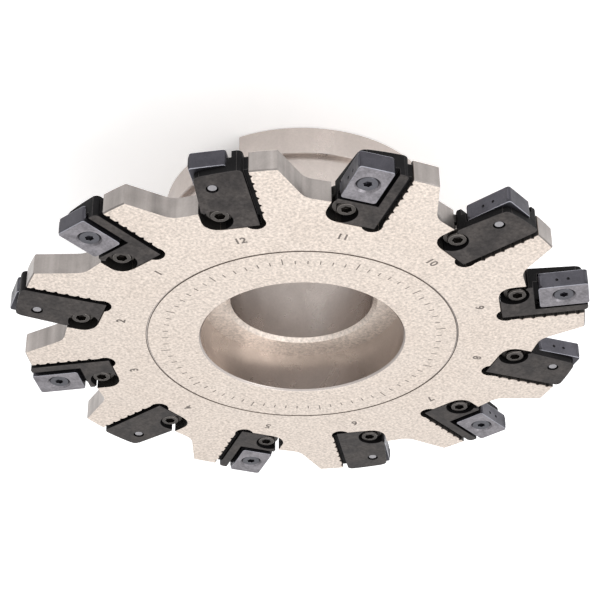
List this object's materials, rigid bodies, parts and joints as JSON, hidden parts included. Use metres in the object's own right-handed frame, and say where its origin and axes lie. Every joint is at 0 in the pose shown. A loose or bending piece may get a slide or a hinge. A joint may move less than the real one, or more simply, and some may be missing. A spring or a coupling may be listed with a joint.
{
  "type": "face mill",
  "caption": "Arbor-mounted side and face mill: a slotted disc on a flanged hub with adjustable cassettes that carry indexable inserts on alternate sides.",
  "frame": {"origin": "centre of the hub's back face, on the axis of the arbor bore", "axes": "+Z runs along the bore's axis, out of the cutting face; the two drive slots lie along X"},
  "size_m": [0.1572, 0.1572, 0.0444],
  "materials": {
    "nickel_plated_steel": "satin",
    "black_oxide_steel": "satin",
    "coated_carbide": "satin",
    "screw_steel": "satin",
    "black_screw_steel": "satin"
  },
  "bodies": {
    "cutter": {"cutter_body": "nickel_plated_steel"},
    "cassette_01": {"cassette_01": "black_oxide_steel", "insert_01": "coated_carbide", "insert_screw_01": "screw_steel"},
    "adjusting_screw_01": {"adjusting_screw_01": "black_screw_steel"},
    "cassette_02": {"cassette_02": "black_oxide_steel", "insert_02": "coated_carbide", "insert_screw_02": "screw_steel"},
    "adjusting_screw_02": {"adjusting_screw_02": "black_screw_steel"},
    "cassette_03": {"cassette_03": "black_oxide_steel", "insert_03": "coated_carbide", "insert_screw_03": "screw_steel"},
    "adjusting_screw_03": {"adjusting_screw_03": "black_screw_steel"},
    "cassette_04": {"cassette_04": "black_oxide_steel", "insert_04": "coated_carbide", "insert_screw_04": "screw_steel"},
    "adjusting_screw_04": {"adjusting_screw_04": "black_screw_steel"},
    "cassette_05": {"cassette_05": "black_oxide_steel", "insert_05": "coated_carbide", "insert_screw_05": "screw_steel"},
    "adjusting_screw_05": {"adjusting_screw_05": "black_screw_steel"},
    "cassette_06": {"cassette_06": "black_oxide_steel", "insert_06": "coated_carbide", "insert_screw_06": "screw_steel"},
    "adjusting_screw_06": {"adjusting_screw_06": "black_screw_steel"},
    "cassette_07": {"cassette_07": "black_oxide_steel", "insert_07": "coated_carbide", "insert_screw_07": "screw_steel"},
    "adjusting_screw_07": {"adjusting_screw_07": "black_screw_steel"},
    "cassette_08": {"cassette_08": "black_oxide_steel", "insert_08": "coated_carbide", "insert_screw_08": "screw_steel"},
    "adjusting_screw_08": {"adjusting_screw_08": "black_screw_steel"},
    "cassette_09": {"cassette_09": "black_oxide_steel", "insert_09": "coated_carbide", "insert_screw_09": "screw_steel"},
    "adjusting_screw_09": {"adjusting_screw_09": "black_screw_steel"},
    "cassette_10": {"cassette_10": "black_oxide_steel", "insert_10": "coated_carbide", "insert_screw_10": "screw_steel"},
    "adjusting_screw_10": {"adjusting_screw_10": "black_screw_steel"},
    "cassette_11": {"cassette_11": "black_oxide_steel", "insert_11": "coated_carbide", "insert_screw_11": "screw_steel"},
    "adjusting_screw_11": {"adjusting_screw_11": "black_screw_steel"},
    "cassette_12": {"cassette_12": "black_oxide_steel", "insert_12": "coated_carbide", "insert_screw_12": "screw_steel"},
    "adjusting_screw_12": {"adjusting_screw_12": "black_screw_steel"}
  },
  "joints": [
    {"name": "cassette_01_adjust", "type": "slide", "parent": "cutter", "child": "cassette_01", "axis": [0, 0, 1], "range_m": [-0.00025, 0.00025]},
    {"name": "adjusting_screw_01_turn", "type": "hinge", "parent": "cassette_01", "child": "adjusting_screw_01", "pos_m": [0.05958, 0.01256, 0.0412], "axis": [0, 0, 1], "range_deg": [-180, 180]},
    {"name": "cassette_02_adjust", "type": "slide", "parent": "cutter", "child": "cassette_02", "axis": [0, 0, 1], "range_m": [-0.00025, 0.00025]},
    {"name": "adjusting_screw_02_turn", "type": "hinge", "parent": "cassette_02", "child": "adjusting_screw_02", "pos_m": [0.04531, 0.04067, 0.0412], "axis": [0, 0, 1], "range_deg": [-180, 180]},
    {"name": "cassette_03_adjust", "type": "slide", "parent": "cutter", "child": "cassette_03", "axis": [0, 0, 1], "range_m": [-0.00025, 0.00025]},
    {"name": "adjusting_screw_03_turn", "type": "hinge", "parent": "cassette_03", "child": "adjusting_screw_03", "pos_m": [0.01891, 0.05788, 0.0412], "axis": [0, 0, 1], "range_deg": [-180, 180]},
    {"name": "cassette_04_adjust", "type": "slide", "parent": "cutter", "child": "cassette_04", "axis": [0, 0, 1], "range_m": [-0.00025, 0.00025]},
    {"name": "adjusting_screw_04_turn", "type": "hinge", "parent": "cassette_04", "child": "adjusting_screw_04", "pos_m": [-0.01256, 0.05958, 0.0412], "axis": [0, 0, 1], "range_deg": [-180, 180]},
    {"name": "cassette_05_adjust", "type": "slide", "parent": "cutter", "child": "cassette_05", "axis": [0, 0, 1], "range_m": [-0.00025, 0.00025]},
    {"name": "adjusting_screw_05_turn", "type": "hinge", "parent": "cassette_05", "child": "adjusting_screw_05", "pos_m": [-0.04067, 0.04531, 0.0412], "axis": [0, 0, 1], "range_deg": [-180, 180]},
    {"name": "cassette_06_adjust", "type": "slide", "parent": "cutter", "child": "cassette_06", "axis": [0, 0, 1], "range_m": [-0.00025, 0.00025]},
    {"name": "adjusting_screw_06_turn", "type": "hinge", "parent": "cassette_06", "child": "adjusting_screw_06", "pos_m": [-0.05788, 0.01891, 0.0412], "axis": [0, 0, 1], "range_deg": [-180, 180]},
    {"name": "cassette_07_adjust", "type": "slide", "parent": "cutter", "child": "cassette_07", "axis": [0, 0, 1], "range_m": [-0.00025, 0.00025]},
    {"name": "adjusting_screw_07_turn", "type": "hinge", "parent": "cassette_07", "child": "adjusting_screw_07", "pos_m": [-0.05958, -0.01256, 0.0412], "axis": [0, 0, 1], "range_deg": [-180, 180]},
    {"name": "cassette_08_adjust", "type": "slide", "parent": "cutter", "child": "cassette_08", "axis": [0, 0, 1], "range_m": [-0.00025, 0.00025]},
    {"name": "adjusting_screw_08_turn", "type": "hinge", "parent": "cassette_08", "child": "adjusting_screw_08", "pos_m": [-0.04531, -0.04067, 0.0412], "axis": [0, 0, 1], "range_deg": [-180, 180]},
    {"name": "cassette_09_adjust", "type": "slide", "parent": "cutter", "child": "cassette_09", "axis": [0, 0, 1], "range_m": [-0.00025, 0.00025]},
    {"name": "adjusting_screw_09_turn", "type": "hinge", "parent": "cassette_09", "child": "adjusting_screw_09", "pos_m": [-0.01891, -0.05788, 0.0412], "axis": [0, 0, 1], "range_deg": [-180, 180]},
    {"name": "cassette_10_adjust", "type": "slide", "parent": "cutter", "child": "cassette_10", "axis": [0, 0, 1], "range_m": [-0.00025, 0.00025]},
    {"name": "adjusting_screw_10_turn", "type": "hinge", "parent": "cassette_10", "child": "adjusting_screw_10", "pos_m": [0.01256, -0.05958, 0.0412], "axis": [0, 0, 1], "range_deg": [-180, 180]},
    {"name": "cassette_11_adjust", "type": "slide", "parent": "cutter", "child": "cassette_11", "axis": [0, 0, 1], "range_m": [-0.00025, 0.00025]},
    {"name": "adjusting_screw_11_turn", "type": "hinge", "parent": "cassette_11", "child": "adjusting_screw_11", "pos_m": [0.04067, -0.04531, 0.0412], "axis": [0, 0, 1], "range_deg": [-180, 180]},
    {"name": "cassette_12_adjust", "type": "slide", "parent": "cutter", "child": "cassette_12", "axis": [0, 0, 1], "range_m": [-0.00025, 0.00025]},
    {"name": "adjusting_screw_12_turn", "type": "hinge", "parent": "cassette_12", "child": "adjusting_screw_12", "pos_m": [0.05788, -0.01891, 0.0412], "axis": [0, 0, 1], "range_deg": [-180, 180]}
  ],
  "couplings": [
    {"joint": "adjusting_screw_01_turn", "follows": "cassette_01_adjust", "rad_per_m": 12566},
    {"joint": "adjusting_screw_02_turn", "follows": "cassette_02_adjust", "rad_per_m": 12566},
    {"joint": "adjusting_screw_03_turn", "follows": "cassette_03_adjust", "rad_per_m": 12566},
    {"joint": "adjusting_screw_04_turn", "follows": "cassette_04_adjust", "rad_per_m": 12566},
    {"joint": "adjusting_screw_05_turn", "follows": "cassette_05_adjust", "rad_per_m": 12566},
    {"joint": "adjusting_screw_06_turn", "follows": "cassette_06_adjust", "rad_per_m": 12566},
    {"joint": "adjusting_screw_07_turn", "follows": "cassette_07_adjust", "rad_per_m": 12566},
    {"joint": "adjusting_screw_08_turn", "follows": "cassette_08_adjust", "rad_per_m": 12566},
    {"joint": "adjusting_screw_09_turn", "follows": "cassette_09_adjust", "rad_per_m": 12566},
    {"joint": "adjusting_screw_10_turn", "follows": "cassette_10_adjust", "rad_per_m": 12566},
    {"joint": "adjusting_screw_11_turn", "follows": "cassette_11_adjust", "rad_per_m": 12566},
    {"joint": "adjusting_screw_12_turn", "follows": "cassette_12_adjust", "rad_per_m": 12566}
  ]
}
